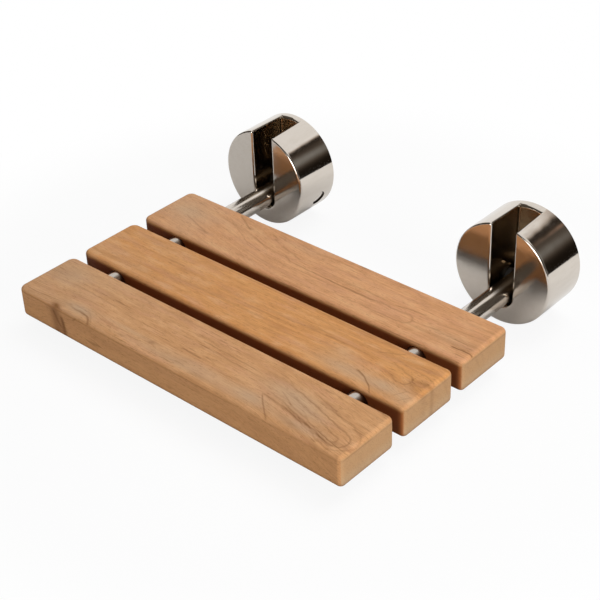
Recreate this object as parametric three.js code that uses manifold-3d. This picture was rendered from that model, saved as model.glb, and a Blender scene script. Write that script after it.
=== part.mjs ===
// Fold-down shower seat: three wooden slats on two round rods, which hinge in two round wall brackets.
// Millimetres. The wall is the plane y = 0 and the seat reaches towards -Y, X runs along the slats and
// +Z is up. The origin lies on the wall, midway between the brackets, at the height of their centres.
import * as THREE from 'three';
import { mergeVertices } from 'three/addons/utils/BufferGeometryUtils.js';
import Module from 'manifold-3d';

const wasm = await Module();
wasm.setup();

// Clearances
const fitGap = 0.3; // between pieces that seat on each other
const runGap = 0.15; // round a turning or plugged-in shaft, and beside a turning flange
const slotSideGap = 2; // between a rod and each side of its slot
const slotBackGap = 0.6; // behind a rod that is folded up
const webGap = 1; // behind a rod's round rear end
const headHoleGap = 0.5; // round the head of a pivot pin

// Slats
const slatNames = ['front', 'middle', 'rear'];
const slatLength = 401.5;
const slatWidth = 69.5;
const slatThickness = 32.5;
const slatGap = 12;
const slatEdgeRadius = 4.5;
const slatCornerExtra = 5.5; // how much rounder the upright corners are than the long edges
const slatToBracket = 59;

// Rods
const rodDiameter = 22;
const rodSpacing = 302;
const rodDrop = 22.4; // rod's axis below the centre of its bracket
const rodFrontCover = 20; // wood left in front of a rod's front end
const rodEyeWidth = 18; // across the flats at the pivot
const rodEyeReach = 12; // how far the flats run in front of the pivot

// Screws that lock the slats to the rods
const slatScrewDiameter = 4;
const slatScrewHeadDiameter = 9;
const slatScrewHeadHeight = 2.6;
const slatScrewBite = 7; // length in the rod
const slatScrewSink = 0.6; // head above the slat's underside
const slatScrewDrive = 3; // across the corners of the driving recess
const slatScrewDriveDepth = 1.3;

// Pivots
const pinDiameter = 8;
const pinHeadDiameter = 15;
const pinHeadSink = 1.4; // from the cover's outside in to the head's end, which has the same curve
const pinTip = 2; // beyond the nut
const bushWall = 1;
const bushFlangeDiameter = 16;
const bushSplit = 0.4; // between the two bushes of one rod
const washerDiameter = 16;
const washerThickness = 1.2;
const nutDiameter = 15; // across the corners
const nutThickness = 6.5;

// Bracket covers
const coverDiameter = 105.5;
const coverDepth = 52.5;
const coverWall = 3.5;
const coverEdgeRadius = 1.8;
const slotEdgeRadius = 2.4; // along the slot's edges in the front face

// Wall plates
const plateThickness = 3.5;
const plateHoleDiameter = 5.5;
const plateHoleInset = 5; // from a wall screw's axis to the plate's edge
const plateHoleAngles = [30, 150, 270];

// Yokes
const yokeWeb = 3.7;
const yokeCheek = 9;
const yokeFloor = 5.5;
const bossDiameter = 16;
const bossLength = 14;

// Screws from a wall plate into its yoke
const yokeScrewDiameter = 5;
const yokeScrewHeadDiameter = 9;
const yokeScrewHeadHeight = 2;
const yokeScrewLength = 16;
const yokeScrewDrive = 3.4;
const yokeScrewDriveDepth = 1.2;
const yokeScrewTopInset = 23; // from an upper screw's axis down from the plate's top
const yokeScrewFootInset = 16; // from a lower screw's axis up from the plate's foot

// Facets of round shapes
const coverSides = 64;
const rodSides = 32;
const holeSides = 24;
const screwSides = 12;
const hexagon = 6;
const edgeSteps = 4; // in a rounded edge

// Places that follow from the sizes
const rodRadius = rodDiameter / 2;
const bracketX = rodSpacing / 2;
const rodZ = -rodDrop;
const yokeBackY = -(plateThickness + fitGap);
const yokeWebY = yokeBackY - yokeWeb;
const hingeY = yokeWebY - webGap - rodRadius;
const slotHalf = rodRadius + slotSideGap;
const slotBackY = hingeY + rodRadius + slotBackGap;
const slatPitch = slatWidth + slatGap;
const rearSlatY = -(coverDepth + slatToBracket + slatWidth / 2);
const slatMiddles = [2, 1, 0].map((slatsBehind) => rearSlatY - slatsBehind * slatPitch);
const rodFrontY = slatMiddles[0] - slatWidth / 2 + rodFrontCover;
const screwHeadZ = -slatThickness / 2 + slatScrewSink;
const screwSeatZ = screwHeadZ + slatScrewHeadHeight;
const screwTipZ = -rodRadius + slatScrewBite;
const rodEyeHalf = rodEyeWidth / 2;
const pinRadius = pinDiameter / 2;
const bushInside = pinRadius + runGap;
const bushOutside = bushInside + bushWall;
const coverRadius = coverDiameter / 2;
const plateRadius = coverRadius - coverWall - fitGap;
const yokeHalf = slotHalf + yokeCheek;
const yokeFrontY = -(coverDepth - coverWall - fitGap);
const yokeFloorZ = rodZ - rodRadius - fitGap;
const yokeScrewX = slotHalf + yokeCheek / 2;
const yokeScrewHeights = [plateRadius - yokeScrewTopInset, yokeScrewFootInset - plateRadius];
const bossEnd = yokeHalf + bossLength;
const washerX = yokeHalf + fitGap;
const nutX = washerX + washerThickness + fitGap;
const far = 2 * coverDiameter; // longer than any cut in a bracket or rod end

const materials = {
  teak: { color: 0xc08f62, roughness: 0.6, metalness: 0 },
  polished: { color: 0xd8d2ca, roughness: 0.08, metalness: 1 },
  steel: { color: 0xa9a59f, roughness: 0.35, metalness: 1 },
  nylon: { color: 0x1c1c1b, roughness: 0.5, metalness: 0 },
};

// A closed mesh from a geometry, without the triangles that shrink to a line on a lathe's axis.
function toSolid(geometry) {
  const bare = geometry.clone();
  bare.deleteAttribute('normal');
  bare.deleteAttribute('uv');
  const merged = mergeVertices(bare, 1e-4);
  const index = merged.index.array;
  const faces = [];
  for (let i = 0; i < index.length; i += 3) {
    const [a, b, c] = index.slice(i, i + 3);
    if (a !== b && b !== c && c !== a) faces.push(a, b, c);
  }
  const mesh = new wasm.Mesh({
    numProp: 3,
    vertProperties: new Float32Array(merged.attributes.position.array),
    triVerts: new Uint32Array(faces),
  });
  return new wasm.Manifold(mesh);
}

function toGeometry(solid) {
  const mesh = solid.getMesh();
  const geometry = new THREE.BufferGeometry();
  geometry.setAttribute('position', new THREE.BufferAttribute(mesh.vertProperties, 3));
  geometry.setIndex(new THREE.BufferAttribute(mesh.triVerts, 1));
  const faceted = geometry.toNonIndexed();
  faceted.computeVertexNormals();
  return faceted;
}

// Join or cut a first geometry with others.
const join = (first, ...rest) => rest.reduce((sum, piece) => sum.add(toSolid(piece)), toSolid(first));
const cut = (solid, ...pieces) => pieces.reduce((rest, piece) => rest.subtract(toSolid(piece)), solid);

// A round bar along X, Y or Z between two places, here with its axis through the origin.
function bar(axis, radius, from, to, sides = holeSides) {
  const geometry = new THREE.CylinderGeometry(radius, radius, Math.abs(to - from), sides);
  if (axis === 'x') geometry.rotateZ(-Math.PI / 2);
  if (axis === 'z') geometry.rotateX(Math.PI / 2);
  const middle = (from + to) / 2;
  const shift = { x: [middle, 0, 0], y: [0, middle, 0], z: [0, 0, middle] };
  return geometry.translate(...shift[axis]);
}

// A bar across a bracket on its pivot's axis; side says which way x is counted.
const pivotBar = (radius, from, to, side, sides = holeSides) =>
  bar('x', radius, side * from, side * to, sides).translate(0, hingeY, rodZ);

function block(x0, x1, y0, y1, z0, z1) {
  const geometry = new THREE.BoxGeometry(x1 - x0, y1 - y0, z1 - z0);
  return geometry.translate((x0 + x1) / 2, (y0 + y1) / 2, (z0 + z1) / 2);
}

// An outline drawn in X and Z, made solid from backY forward to frontY.
function extrudeForward(outline, backY, frontY) {
  const options = { depth: backY - frontY, bevelEnabled: false, curveSegments: holeSides / 2 };
  return new THREE.ExtrudeGeometry(outline, options).rotateX(Math.PI / 2).translate(0, backY, 0);
}

// The slats

function slatOutline() {
  const corner = slatCornerExtra;
  const x = slatLength / 2 - slatEdgeRadius - corner;
  const y = slatWidth / 2 - slatEdgeRadius - corner;
  const outline = new THREE.Shape();
  outline.absarc(x, y, corner, 0, Math.PI / 2);
  outline.absarc(-x, y, corner, Math.PI / 2, Math.PI);
  outline.absarc(-x, -y, corner, Math.PI, 1.5 * Math.PI);
  outline.absarc(x, -y, corner, 1.5 * Math.PI, 2 * Math.PI);
  return outline;
}

// A slat is centred on its own middle, where the rods' axes also run.
function makeSlat(middleY) {
  const depth = slatThickness - 2 * slatEdgeRadius;
  const options = {
    depth,
    bevelThickness: slatEdgeRadius,
    bevelSize: slatEdgeRadius,
    bevelSegments: edgeSteps,
    curveSegments: edgeSteps,
  };
  let slat = toSolid(new THREE.ExtrudeGeometry(slatOutline(), options).translate(0, 0, -depth / 2));
  const holeFront = Math.max(rodFrontY - fitGap - middleY, -slatWidth);
  for (const x of [-bracketX, bracketX]) {
    slat = cut(
      slat,
      bar('y', rodRadius + fitGap, holeFront, slatWidth, rodSides).translate(x, 0, 0),
      bar('z', slatScrewHeadDiameter / 2 + fitGap, -slatThickness, screwSeatZ + fitGap).translate(x, 0, 0),
      bar('z', slatScrewDiameter / 2 + fitGap, -slatThickness, 0, screwSides).translate(x, 0, 0),
    );
  }
  return toGeometry(slat);
}

function makeSlatScrew() {
  const head = bar('z', slatScrewHeadDiameter / 2, screwHeadZ, screwSeatZ, screwSides);
  const shank = bar('z', slatScrewDiameter / 2, screwHeadZ, screwTipZ, screwSides);
  const drive = bar('z', slatScrewDrive / 2, -slatThickness, screwHeadZ + slatScrewDriveDepth, hexagon);
  return toGeometry(cut(join(head, shank), drive));
}

// The rods; each is made with its own axis on x = 0 and z = 0.

// The rear end is rounded about the pivot, flattened on both sides and bored for the bushes.
function makeRod() {
  const flatFront = hingeY - rodEyeReach;
  const aboutPivot = bar('x', rodRadius, -far, far, rodSides).translate(0, hingeY, 0);
  const rear = toSolid(bar('y', rodRadius, hingeY - rodEyeHalf, hingeY + rodRadius, rodSides));
  let rod = cut(
    rear.intersect(toSolid(aboutPivot)).add(toSolid(bar('y', rodRadius, rodFrontY, hingeY, rodSides))),
    block(rodEyeHalf, far, flatFront, far, -far, far),
    block(-far, -rodEyeHalf, flatFront, far, -far, far),
    bar('x', bushOutside + runGap, -far, far).translate(0, hingeY, 0),
  );
  const tapped = bar('z', slatScrewDiameter / 2 + fitGap, -far, screwTipZ + fitGap, screwSides);
  for (const middleY of slatMiddles) {
    rod = cut(rod, tapped.clone().translate(0, middleY, 0));
  }
  return toGeometry(rod);
}

// The pivots; side is 1 where the pin's head is on the +X side and -1 where it is on the -X side.

function makeBush(side) {
  const sleeve = pivotBar(bushOutside, bushSplit / 2, slotHalf - runGap, side);
  const flange = pivotBar(bushFlangeDiameter / 2, rodEyeHalf + runGap, slotHalf - runGap, side);
  const bore = pivotBar(bushInside, -far, far, side);
  return toGeometry(cut(join(sleeve, flange), bore));
}

// The end of a pin's head follows the cover's curve.
function makePin(side) {
  const shank = pivotBar(pinRadius, -(nutX + nutThickness + pinTip), far, side);
  const head = pivotBar(pinHeadDiameter / 2, bossEnd + fitGap, far, side);
  const curve = toSolid(bar('y', coverRadius - pinHeadSink, -far, far, coverSides));
  return toGeometry(join(shank, head).intersect(curve));
}

const makeWasher = (side) => toGeometry(cut(
  join(pivotBar(washerDiameter / 2, -washerX, -(washerX + washerThickness), side)),
  pivotBar(pinRadius + fitGap, -far, far, side),
));

const makeNut = (side) => toGeometry(cut(
  join(pivotBar(nutDiameter / 2, -nutX, -(nutX + nutThickness), side, hexagon)),
  pivotBar(pinRadius + runGap, -far, far, side),
));

// The brackets; each is made with its own centre line on x = 0.

// A slot with a round lower end about the rod's axis, open upwards.
function slotOutline() {
  const outline = new THREE.Shape();
  outline.moveTo(slotHalf, far);
  outline.lineTo(-slotHalf, far);
  outline.absarc(0, rodZ, slotHalf, Math.PI, 2 * Math.PI);
  return outline;
}

// A cut that widens towards the front face and so rounds the slot's edges there.
function slotMouth() {
  const options = {
    depth: fitGap,
    bevelThickness: slotEdgeRadius,
    bevelSize: -slotEdgeRadius,
    bevelOffset: slotEdgeRadius,
    bevelSegments: edgeSteps,
    curveSegments: holeSides / 2,
  };
  const backY = -coverDepth + slotEdgeRadius + fitGap;
  const flare = new THREE.ExtrudeGeometry(slotOutline(), options).rotateX(Math.PI / 2).translate(0, backY, 0);
  return toSolid(flare).intersect(toSolid(block(-far, far, -far, backY, -far, far)));
}

// Section of a cover from its axis out and back in, as radius and Y.
function coverSection() {
  const points = [new THREE.Vector2(0, -coverDepth)];
  for (let i = 0; i <= edgeSteps; i += 1) {
    const angle = (i / edgeSteps) * (Math.PI / 2);
    const radius = coverRadius - coverEdgeRadius * (1 - Math.sin(angle));
    points.push(new THREE.Vector2(radius, -coverDepth + coverEdgeRadius * (1 - Math.cos(angle))));
  }
  points.push(
    new THREE.Vector2(coverRadius, 0),
    new THREE.Vector2(coverRadius - coverWall, 0),
    new THREE.Vector2(coverRadius - coverWall, -coverDepth + coverWall),
    new THREE.Vector2(0, -coverDepth + coverWall),
  );
  return points;
}

function makeCover(side) {
  const cup = toSolid(new THREE.LatheGeometry(coverSection(), coverSides));
  const slot = extrudeForward(slotOutline(), slotBackY, -far);
  const pinHole = pivotBar(pinHeadDiameter / 2 + headHoleGap, slotHalf, far, side);
  return toGeometry(cut(cup, slot, pinHole).subtract(slotMouth()));
}

const yokeScrewPlaces = [-yokeScrewX, yokeScrewX].flatMap((x) => yokeScrewHeights.map((z) => [x, z]));

// Shank and head of a countersunk screw, or of the hole for it where a gap is given, about the Y axis.
function countersunk(gap, length) {
  const narrow = yokeScrewDiameter / 2 + gap;
  const wide = yokeScrewHeadDiameter / 2 + gap;
  const cone = new THREE.CylinderGeometry(wide, narrow, yokeScrewHeadHeight, screwSides);
  return [bar('y', narrow, -length, 0, screwSides), cone.translate(0, -yokeScrewHeadHeight / 2, 0)];
}

function makeWallPlate() {
  let plate = toSolid(bar('y', plateRadius, -plateThickness, 0, coverSides));
  const reach = plateRadius - plateHoleInset;
  for (const angle of plateHoleAngles.map(THREE.MathUtils.degToRad)) {
    const x = reach * Math.cos(angle);
    const z = reach * Math.sin(angle);
    plate = cut(plate, bar('y', plateHoleDiameter / 2, -far, far, screwSides).translate(x, 0, z));
  }
  for (const [x, z] of yokeScrewPlaces) {
    const lip = bar('y', yokeScrewHeadDiameter / 2 + fitGap, -fitGap, fitGap, screwSides);
    const holes = countersunk(fitGap, far).map((hole) => hole.translate(x, -fitGap, z));
    plate = cut(plate, ...holes, lip.translate(x, 0, z));
  }
  return toGeometry(plate);
}

function makeYokeScrew() {
  const screw = join(...countersunk(0, yokeScrewLength));
  const drive = bar('y', yokeScrewDrive / 2, -yokeScrewDriveDepth, yokeScrewDriveDepth, hexagon);
  return toGeometry(cut(screw, drive)).translate(0, -fitGap, 0);
}

// Front view of a yoke: two upright sides under the cover's round top, on a flat foot.
function yokeOutline() {
  const topAngle = Math.acos(yokeHalf / plateRadius);
  const outline = new THREE.Shape();
  outline.moveTo(-yokeHalf, yokeFloorZ - yokeFloor);
  outline.lineTo(yokeHalf, yokeFloorZ - yokeFloor);
  outline.absarc(0, 0, plateRadius, topAngle, Math.PI - topAngle);
  return outline;
}

function makeYoke(side) {
  const casting = join(
    extrudeForward(yokeOutline(), yokeBackY, yokeFrontY),
    pivotBar(bossDiameter / 2, slotHalf + yokeCheek / 2, bossEnd, side),
  );
  let yoke = cut(
    casting,
    block(-slotHalf, slotHalf, -far, yokeWebY, yokeFloorZ, far),
    pivotBar(pinRadius + runGap, -far, far, side),
  );
  const tapped = bar('y', yokeScrewDiameter / 2 + fitGap, -(yokeScrewLength + 2 * fitGap), 0, screwSides);
  for (const [x, z] of yokeScrewPlaces) {
    yoke = cut(yoke, tapped.clone().translate(x, 0, z));
  }
  return toGeometry(yoke);
}

// The assembly

function piece(name, geometry, finish, place = [0, 0, 0]) {
  const mesh = new THREE.Mesh(geometry, new THREE.MeshStandardMaterial(materials[finish]));
  mesh.name = name;
  mesh.position.set(...place);
  return mesh;
}

const hands = [['left', -bracketX, 1], ['right', bracketX, -1]];

function makeSeat() {
  const seat = new THREE.Group();
  slatMiddles.forEach((middleY, row) => {
    seat.add(piece(`slat_${slatNames[row]}`, makeSlat(middleY), 'teak', [0, middleY, rodZ]));
    for (const [hand, x] of hands) {
      seat.add(piece(`slat_screw_${slatNames[row]}_${hand}`, makeSlatScrew(), 'steel', [x, middleY, rodZ]));
    }
  });
  for (const [hand, x, side] of hands) {
    seat.add(piece(`rod_${hand}`, makeRod(), 'polished', [x, 0, rodZ]));
    seat.add(piece(`pivot_bush_${hand}_inner`, makeBush(side), 'nylon', [x, 0, 0]));
    seat.add(piece(`pivot_bush_${hand}_outer`, makeBush(-side), 'nylon', [x, 0, 0]));
  }
  return seat;
}

function makeBracket(hand, x, side) {
  const bracket = new THREE.Group();
  bracket.position.set(x, 0, 0);
  bracket.add(
    piece(`bracket_cover_${hand}`, makeCover(side), 'polished'),
    piece(`wall_plate_${hand}`, makeWallPlate(), 'steel'),
    piece(`hinge_yoke_${hand}`, makeYoke(side), 'polished'),
    piece(`pivot_pin_${hand}`, makePin(side), 'polished'),
    piece(`pivot_washer_${hand}`, makeWasher(side), 'steel'),
    piece(`pivot_nut_${hand}`, makeNut(side), 'steel'),
    ...yokeScrewPlaces.map(([screwX, z], i) =>
      piece(`yoke_screw_${hand}_${i + 1}`, makeYokeScrew(), 'steel', [screwX, 0, z])),
  );
  return bracket;
}

const showerSeat = new THREE.Group();
showerSeat.add(makeSeat(), ...hands.map((hand) => makeBracket(...hand)));
export default showerSeat;
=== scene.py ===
"""Looks of a fold-down shower seat: teak slats on polished rods, hinged in two polished wall brackets."""
import math

import bmesh
import bpy
from mathutils import Matrix, Vector


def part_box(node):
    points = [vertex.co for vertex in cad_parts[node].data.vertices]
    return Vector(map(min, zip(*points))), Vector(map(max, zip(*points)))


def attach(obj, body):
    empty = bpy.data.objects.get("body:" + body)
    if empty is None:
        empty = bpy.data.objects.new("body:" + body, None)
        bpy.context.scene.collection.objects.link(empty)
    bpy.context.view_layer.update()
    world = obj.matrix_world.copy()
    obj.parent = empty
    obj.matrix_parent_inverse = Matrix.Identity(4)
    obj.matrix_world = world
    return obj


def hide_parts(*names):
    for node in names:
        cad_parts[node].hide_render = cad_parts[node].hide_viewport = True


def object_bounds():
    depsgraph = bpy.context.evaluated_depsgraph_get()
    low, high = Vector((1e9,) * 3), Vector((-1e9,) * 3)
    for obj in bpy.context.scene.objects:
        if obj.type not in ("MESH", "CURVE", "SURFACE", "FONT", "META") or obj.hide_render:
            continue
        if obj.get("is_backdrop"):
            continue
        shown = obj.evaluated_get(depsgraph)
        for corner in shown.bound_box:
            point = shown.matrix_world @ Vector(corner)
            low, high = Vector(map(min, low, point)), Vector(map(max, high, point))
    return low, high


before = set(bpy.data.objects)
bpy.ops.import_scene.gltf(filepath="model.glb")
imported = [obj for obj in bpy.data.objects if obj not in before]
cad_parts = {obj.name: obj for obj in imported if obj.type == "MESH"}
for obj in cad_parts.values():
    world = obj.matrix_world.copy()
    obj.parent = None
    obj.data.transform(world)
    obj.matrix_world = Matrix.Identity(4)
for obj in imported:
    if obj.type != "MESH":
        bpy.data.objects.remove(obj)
cad_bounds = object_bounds()

# Sizes in metres; places come from the frame's boxes
MM = 0.001
HANDS = {"left": 1, "right": -1}  # the side on which a pivot pin's head lies, along X
ROWS = ("front", "middle", "rear")
FIT_GAP = 0.3 * MM
RUN_GAP = 0.15 * MM

SLAT_EDGE = 4.5 * MM
SLAT_CORNERS = {(-1, -1): 7 * MM, (-1, 1): 8 * MM, (1, -1): 5 * MM, (1, 1): 6.5 * MM}  # by side along X and Y
SLAT_EDGE_STEPS = 10
SLAT_HEAD_HEIGHT = 2.6 * MM
SLAT_SCREW_SHANK = 2 * MM
SLAT_SCREW_DRIVE = 1.5 * MM
ROD_CHAMFER = 0.8 * MM
ROD_EYE_HALF = 9 * MM
ROD_EYE_REACH = 12 * MM

SLOT_HALF = 13 * MM
SLOT_BACK = 7.9 * MM  # depth of the cover that stays whole behind the slot
SLOT_CORNER = 2 * MM  # inside the yoke, along its web and its floor
COVER_WALL = 3.5 * MM
COVER_RIM = 2.1 * MM  # rounding of the front rim
SLOT_FACE_EDGE = 2.4 * MM  # rounding of the slot's edges in the front face
SLOT_SIDE_EDGE = 3.2 * MM  # and in the round side
FINE_EDGE = 0.4 * MM
YOKE_CHEEK = 9 * MM
YOKE_FLOOR = 5.5 * MM
YOKE_WEB = 3.7 * MM
BOSS_RADIUS = 8 * MM
PIN_RADIUS = 4 * MM
PIN_HOLE_GAP = 0.5 * MM
PIN_HEAD_SINK = 1.4 * MM  # from the cover's outside in to the head's curved end
BUSH_WALL = 1 * MM
PLATE_HOLE = 2.75 * MM
PLATE_HOLE_INSET = 5 * MM
PLATE_HOLE_ANGLES = (30, 150, 270)
YOKE_SCREW_SHANK = 2.5 * MM
YOKE_SCREW_HEAD = 2 * MM
YOKE_SCREW_DRIVE = 1.7 * MM

FAR = 0.3  # longer than any cut
SHARP_EDGE = 35  # degrees between two faces, from which their edge is rounded
SMOOTH_SIDES = 128
HOLE_SIDES = 96
SMALL_SIDES = 48
HEX_SIDES = 6
COVER_SLOT_STEPS = 12  # round the cover's side, over the slot and over the rest
COVER_REST_STEPS = 80
SLOT_EDGE_STEPS = 8
SLOT_CORNER_STEPS = 5
FINE_EDGE_STEPS = 3
SLOT_ARC_STEPS = 32
YOKE_ARC_STEPS = 24
AXES = {
    "x": (Vector((1, 0, 0)), Vector((0, 1, 0)), Vector((0, 0, 1))),
    "y": (Vector((0, 1, 0)), Vector((0, 0, 1)), Vector((1, 0, 0))),
    "z": (Vector((0, 0, 1)), Vector((1, 0, 0)), Vector((0, 1, 0))),
}


# Shaping

def add_object(name, mesh):
    piece = bpy.data.objects.new(name, mesh)
    bpy.context.scene.collection.objects.link(piece)
    return piece


def from_bmesh(name, bm):
    bmesh.ops.recalc_face_normals(bm, faces=bm.faces)
    mesh = bpy.data.meshes.new(name)
    bm.to_mesh(mesh)
    bm.free()
    return add_object(name, mesh)


def even_turn(sides):
    return [2 * math.pi * i / sides for i in range(sides)]


def turned(axis, centre, profile, angles, closed=False):
    """A piece turned about an axis through centre from points of radius and distance along the axis."""
    along, across, up = AXES[axis]
    bm = bmesh.new()
    rings = []
    for radius, distance in profile:
        middle = Vector(centre) + distance * along
        spokes = [math.cos(a) * across + math.sin(a) * up for a in (angles if radius > 0 else angles[:1])]
        rings.append([bm.verts.new(middle + radius * spoke) for spoke in spokes])
    following = rings[1:] + rings[:1] if closed else rings[1:]
    for near, far in zip(rings, following):
        for i in range(len(angles)):
            j = (i + 1) % len(angles)
            corners = [near[i % len(near)], near[j % len(near)], far[j % len(far)], far[i % len(far)]]
            bm.faces.new(list(dict.fromkeys(corners)))
    return from_bmesh("turned", bm)


def softened(points, reach):
    """Rounds each corner of a profile but its first and last by reach."""
    result = [points[0]]
    for before, corner, after in zip(points, points[1:], points[2:]):
        corner = Vector(corner)
        start = corner + (Vector(before) - corner).normalized() * reach
        end = corner + (Vector(after) - corner).normalized() * reach
        for t in (0, 0.25, 0.5, 0.75, 1):
            result.append(tuple((1 - t) ** 2 * start + 2 * t * (1 - t) * corner + t ** 2 * end))
    return result + [points[-1]]


def bar(axis, centre, radius, start, end, sides=SMALL_SIDES, chamfer=0):
    profile = [(0, start), (radius, start), (radius, end), (0, end)]
    return turned(axis, centre, softened(profile, chamfer) if chamfer else profile, even_turn(sides))


def box_bmesh(low, high):
    bm = bmesh.new()
    bmesh.ops.create_cube(bm, size=1)
    low = Vector(low)
    high = Vector(high)
    for vert in bm.verts:
        vert.co = (low + high) / 2 + vert.co * (high - low)
    return bm


def block(low, high):
    return from_bmesh("block", box_bmesh(low, high))


def prism(outline, start, end):
    """An outline of X and Z points, made solid between two places along Y."""
    bm = bmesh.new()
    near = [bm.verts.new((x, start, z)) for x, z in outline]
    far = [bm.verts.new((x, end, z)) for x, z in outline]
    bm.faces.new(near)
    bm.faces.new(far)
    for i in range(len(outline)):
        j = (i + 1) % len(outline)
        bm.faces.new((near[i], near[j], far[j], far[i]))
    return from_bmesh("prism", bm)


def arc(x, z, radius, start, end, steps):
    """Points of X and Z on an arc, between two angles in degrees."""
    angles = [math.radians(start + (end - start) * i / steps) for i in range(steps + 1)]
    return [(x + radius * math.cos(a), z + radius * math.sin(a)) for a in angles]


def settle(piece):
    """Replaces a piece's mesh by what its modifiers make of it."""
    graph = bpy.context.evaluated_depsgraph_get()
    mesh = bpy.data.meshes.new_from_object(piece.evaluated_get(graph))
    spent = piece.data
    piece.modifiers.clear()
    piece.data = mesh
    bpy.data.meshes.remove(spent)


def combine(operation, piece, others):
    """Cuts, joins or keeps a piece by others, which it uses up."""
    for other in others:
        modifier = piece.modifiers.new("combine", "BOOLEAN")
        modifier.operation = operation
        modifier.solver = "EXACT"
        modifier.object = other
    settle(piece)
    for other in others:
        bpy.data.objects.remove(other)
    return piece


def cut(piece, *others):
    return combine("DIFFERENCE", piece, others)


def join(piece, *others):
    return combine("UNION", piece, others)


def keep(piece, *others):
    return combine("INTERSECT", piece, others)


def round_edges(piece, width, segments, share):
    """Rounds each sharp edge of a piece by a share of width, which share gives from the edge's middle."""
    mesh = piece.data
    bm = bmesh.new()
    bm.from_mesh(mesh)
    weights = bm.edges.layers.float.new("bevel_weight_edge")
    for edge in bm.edges:
        if len(edge.link_faces) == 2 and edge.calc_face_angle() > math.radians(SHARP_EDGE):
            edge[weights] = share((edge.verts[0].co + edge.verts[1].co) / 2)
    bm.to_mesh(mesh)
    bm.free()
    modifier = piece.modifiers.new("rounding", "BEVEL")
    modifier.limit_method = "WEIGHT"
    modifier.width = width
    modifier.segments = segments
    modifier.use_clamp_overlap = False
    modifier.loop_slide = False
    settle(piece)
    return piece


def shade(piece, angle=40):
    """Smooth shading that leaves flat faces flat, and edges sharp from an angle in degrees."""
    piece.data.shade_smooth()
    piece.data.set_sharp_from_angle(angle=math.radians(angle))
    piece.modifiers.new("flat faces", "WEIGHTED_NORMAL").keep_sharp = True
    settle(piece)


# The frame's places

def middle_of(node):
    low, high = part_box(node)
    return (Vector(low) + Vector(high)) / 2


def half_size(node, axis):
    """Half of a node's size along an axis, which is the radius of a round one."""
    low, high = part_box(node)
    i = "xyz".index(axis)
    return (high[i] - low[i]) / 2


def pivot_of(hand):
    """The middle of a rod's eye, on the axis about which the seat folds."""
    low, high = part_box(f"rod_{hand}")
    rod_radius = half_size(f"rod_{hand}", "x")
    return Vector(((low[0] + high[0]) / 2, high[1] - rod_radius, (low[2] + high[2]) / 2))


def reach_from_pivot(node, hand):
    """Where a node starts and ends along the pivot's axis, from the middle of the rod's eye."""
    low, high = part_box(node)
    pivot = pivot_of(hand)
    return low[0] - pivot.x, high[0] - pivot.x


# The slats and what locks them to the rods

def make_slat(row):
    low, high = (Vector(corner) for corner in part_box(f"slat_{row}"))
    bm = box_bmesh(low, high)
    middle = (low + high) / 2
    for (side, depth), radius in SLAT_CORNERS.items():
        upright = [
            e for e in bm.edges
            if abs(e.verts[0].co.z - e.verts[1].co.z) > SLAT_EDGE
            and (e.verts[0].co.x - middle.x) * side > (high.x - middle.x) - FIT_GAP
            and (e.verts[0].co.y - middle.y) * depth > (high.y - middle.y) - FIT_GAP
        ]
        bmesh.ops.bevel(bm, geom=upright, offset=radius, segments=SLAT_EDGE_STEPS, profile=0.5, affect="EDGES")
    level = [e for e in bm.edges if abs(e.verts[0].co.z - e.verts[1].co.z) < FIT_GAP]
    bmesh.ops.bevel(bm, geom=level, offset=SLAT_EDGE, segments=SLAT_EDGE_STEPS, profile=0.5, affect="EDGES")
    slat = from_bmesh("slat", bm)
    cutters = []
    for hand in HANDS:
        rod = middle_of(f"rod_{hand}")
        rod_bore = half_size(f"rod_{hand}", "x") + FIT_GAP
        front = max(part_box(f"rod_{hand}")[0][1], low.y - SLAT_EDGE)
        node = f"slat_screw_{row}_{hand}"
        screw = middle_of(node)
        head_bore = half_size(node, "x") + FIT_GAP
        head_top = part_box(node)[0][2] + SLAT_HEAD_HEIGHT
        cutters.append(bar("y", (rod.x, 0, rod.z), rod_bore, front - FIT_GAP, FAR, SMOOTH_SIDES))
        cutters.append(bar("z", (screw.x, screw.y, 0), head_bore, -FAR, head_top + FIT_GAP))
        cutters.append(bar("z", (screw.x, screw.y, 0), SLAT_SCREW_SHANK + FIT_GAP, -FAR, rod.z))
    cut(slat, *cutters)
    shade(slat)
    return slat


def make_slat_screw(row, hand):
    node = f"slat_screw_{row}_{hand}"
    low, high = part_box(node)
    middle = middle_of(node)
    head_radius = half_size(node, "x")
    head_top = low[2] + SLAT_HEAD_HEIGHT
    profile = [(0, low[2]), (head_radius, low[2]), (head_radius, head_top), (SLAT_SCREW_SHANK, head_top)]
    profile += [(SLAT_SCREW_SHANK, high[2]), (0, high[2])]
    screw = turned("z", (middle.x, middle.y, 0), softened(profile, FINE_EDGE), even_turn(SMALL_SIDES))
    cut(screw, bar("z", (middle.x, middle.y, 0), SLAT_SCREW_DRIVE, -FAR, low[2] + SLAT_SCREW_DRIVE, HEX_SIDES))
    shade(screw)
    return screw


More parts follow.
